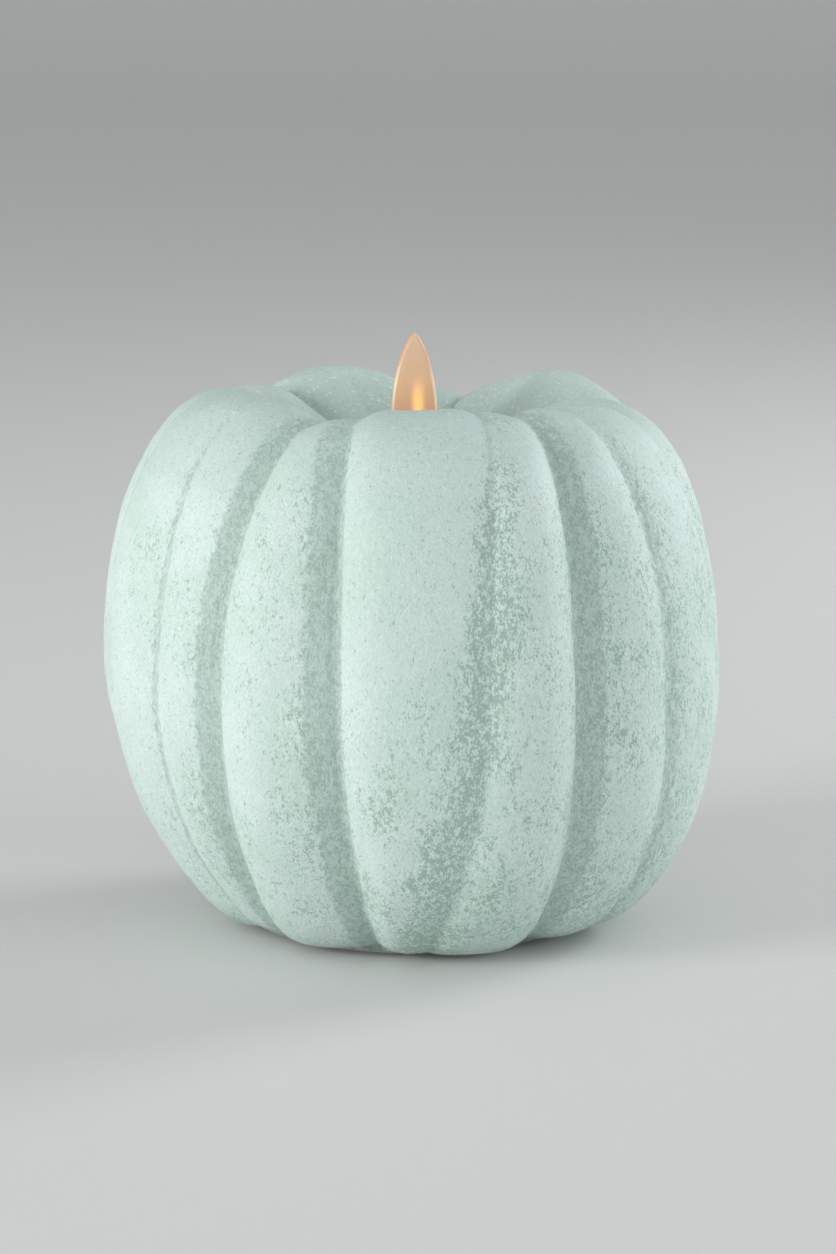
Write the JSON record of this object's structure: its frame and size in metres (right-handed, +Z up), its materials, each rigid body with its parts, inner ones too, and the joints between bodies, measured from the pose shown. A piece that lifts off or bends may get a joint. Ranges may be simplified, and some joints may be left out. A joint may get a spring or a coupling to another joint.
{
  "type": "flameless pumpkin candle",
  "caption": "Hollow ribbed pumpkin-shaped candle with a swinging blade flame in its top well, a battery bay under a hinged door and a slide switch.",
  "frame": {"origin": "on the table under the middle of the pumpkin, at the feet's undersides", "axes": "+Z up through the flame, -Y towards the front, the side that the flame's broad face looks to"},
  "size_m": [0.1407, 0.1417, 0.1353],
  "materials": {
    "wax": "frosted mint wax with a powdery pale bloom",
    "ivory_plastic": "fine moulded texture",
    "black_plastic": "moulded",
    "rubber_feet": "matt",
    "plated_steel": "nickel plated",
    "copper": "lacquered copper wire",
    "magnet": "nickel plated",
    "flame": "translucent, lit from below",
    "lamp_epoxy": "clear tinted epoxy",
    "board": "solder mask",
    "cell_jacket": "plain foil jacket",
    "resistor_body": "lacquered",
    "red_insulation": "soft vinyl",
    "yellow_insulation": "soft vinyl"
  },
  "bodies": {
    "root": {"pumpkin_shell": "wax", "base_plate": "ivory_plastic", "foot_1": "rubber_feet", "foot_2": "rubber_feet", "foot_3": "rubber_feet", "foot_4": "rubber_feet", "base_screw_1": "plated_steel", "base_screw_2": "plated_steel", "base_screw_3": "plated_steel", "base_screw_4": "plated_steel", "battery_housing": "ivory_plastic", "cell_a": "cell_jacket", "cell_b": "cell_jacket", "positive_contact": "plated_steel", "negative_spring": "plated_steel", "circuit_board": "board", "board_screw_1": "plated_steel", "board_screw_2": "plated_steel", "control_chip": "black_plastic", "capacitor": "black_plastic", "resistor": "resistor_body", "coil_bobbin": "black_plastic", "coil_winding": "copper", "led_front": "lamp_epoxy", "led_rear": "lamp_epoxy", "led_front_lead_1": "plated_steel", "led_front_lead_2": "plated_steel", "led_rear_lead_1": "plated_steel", "led_rear_lead_2": "plated_steel", "chamber_left": "ivory_plastic", "chamber_right": "ivory_plastic", "chamber_screw_1": "plated_steel", "chamber_screw_2": "plated_steel", "pivot_wire": "plated_steel", "flame_collar": "ivory_plastic", "switch_body": "plated_steel", "switch_screw_1": "plated_steel", "switch_screw_2": "plated_steel", "wire_red": "red_insulation", "wire_black": "black_plastic", "wire_yellow": "yellow_insulation"},
    "flame": {"flame_blade": "flame", "flame_magnet": "magnet"},
    "door": {"battery_door": "ivory_plastic", "door_contact": "plated_steel", "door_spring": "plated_steel"},
    "switch": {"switch_knob": "black_plastic"}
  },
  "joints": [
    {"name": "flame_swing", "type": "hinge", "parent": "root", "child": "flame", "pos_m": [0, 0, 0.0975], "axis": [0, 1, 0], "range_deg": [-10, 10]},
    {"name": "battery_door_hinge", "type": "hinge", "parent": "root", "child": "door", "pos_m": [0, -0.0081, 0.0016], "axis": [-1, 0, 0], "range_deg": [0, 100]},
    {"name": "power_switch_slide", "type": "slide", "parent": "root", "child": "switch", "axis": [1, 0, 0], "range_m": [0, 0.004]}
  ]
}
